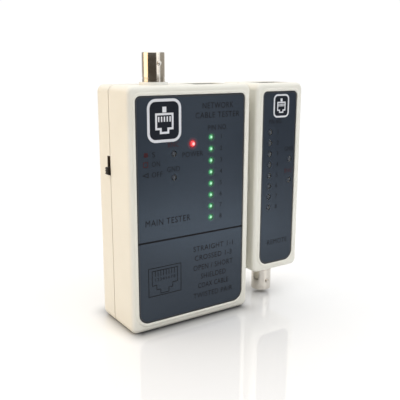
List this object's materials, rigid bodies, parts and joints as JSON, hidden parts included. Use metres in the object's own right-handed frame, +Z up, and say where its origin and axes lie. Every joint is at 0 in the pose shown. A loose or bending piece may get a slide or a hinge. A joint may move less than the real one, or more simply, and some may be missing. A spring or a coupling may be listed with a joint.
{
  "type": "network cable tester",
  "caption": "Handheld network cable tester: a main unit with lamps, switch, RJ45 socket and bayonet jack, and a remote docked on its side rail.",
  "frame": {"origin": "middle of the docked pair's underside: the centre in X and Y of the whole box, at the level the main unit stands on", "axes": "+X to the right of the label faces, +Y from the faces to the back, +Z up along the cases"},
  "size_m": [0.093, 0.0294, 0.1167],
  "materials": {
    "case_plastic": "satin, warm off-white",
    "label_plate": "semi-gloss slate",
    "green_lamp": "lit green lens",
    "red_lamp": "lit red lens",
    "clear_lamp": "unlit smoky lens",
    "board": "solder mask",
    "socket_plastic": "satin black",
    "gold_contact": "gold plated",
    "plated_barrel": "bright nickel plate",
    "white_plastic": "satin",
    "black_plastic": "satin",
    "tinned_metal": "tinned",
    "battery_wrap": "printed foil",
    "foam": "open cell",
    "red_wire": "smooth",
    "black_wire": "smooth",
    "resistor_body": "lacquered",
    "capacitor_sleeve": "shrink sleeve",
    "diode_glass": "tinted",
    "screw_steel": "zinc plated"
  },
  "bodies": {
    "main_unit": {"main_front_shell": "case_plastic", "main_rear_shell": "case_plastic", "main_label": "label_plate", "main_pin_leds": "green_lamp", "power_led": "red_lamp", "main_indicator_leds": "clear_lamp", "main_circuit_board": "board", "main_jack_housing": "socket_plastic", "main_jack_contacts": "gold_contact", "main_bnc_barrel": "plated_barrel", "main_bnc_collar": "white_plastic", "main_bnc_insulator": "white_plastic", "main_bnc_contact": "gold_contact", "switch_housing": "black_plastic", "switch_terminals": "tinned_metal", "battery": "battery_wrap", "battery_posts": "tinned_metal", "battery_snap": "black_plastic", "red_lead": "red_wire", "black_lead": "black_wire", "logic_chips": "black_plastic", "chip_legs": "tinned_metal", "resistors": "resistor_body", "capacitor": "capacitor_sleeve", "main_board_screws": "screw_steel", "main_case_screws": "screw_steel"},
    "switch_slider": {"switch_knob": "black_plastic"},
    "door": {"battery_door": "case_plastic", "door_pad": "foam"},
    "remote_unit": {"remote_front_shell": "case_plastic", "remote_rear_shell": "case_plastic", "remote_label": "label_plate", "remote_pin_leds": "clear_lamp", "remote_indicator_leds": "clear_lamp", "remote_circuit_board": "board", "remote_jack_housing": "socket_plastic", "remote_jack_contacts": "gold_contact", "remote_bnc_barrel": "plated_barrel", "remote_bnc_collar": "white_plastic", "remote_bnc_insulator": "white_plastic", "remote_bnc_contact": "gold_contact", "remote_diodes": "diode_glass", "remote_case_screws": "screw_steel", "remote_board_screws": "screw_steel"}
  },
  "joints": [
    {"name": "switch_slide", "type": "slide", "parent": "main_unit", "child": "switch_slider", "axis": [0, 0, 1], "range_m": [0, 0.0044]},
    {"name": "door_hinge", "type": "hinge", "parent": "main_unit", "child": "door", "pos_m": [-0.01475, 0.01465, 0.03625], "axis": [1, 0, 0], "range_deg": [0, 70]},
    {"name": "remote_dock", "type": "slide", "parent": "main_unit", "child": "remote_unit", "axis": [0, 0, 1], "range_m": [0, 0.075]}
  ]
}
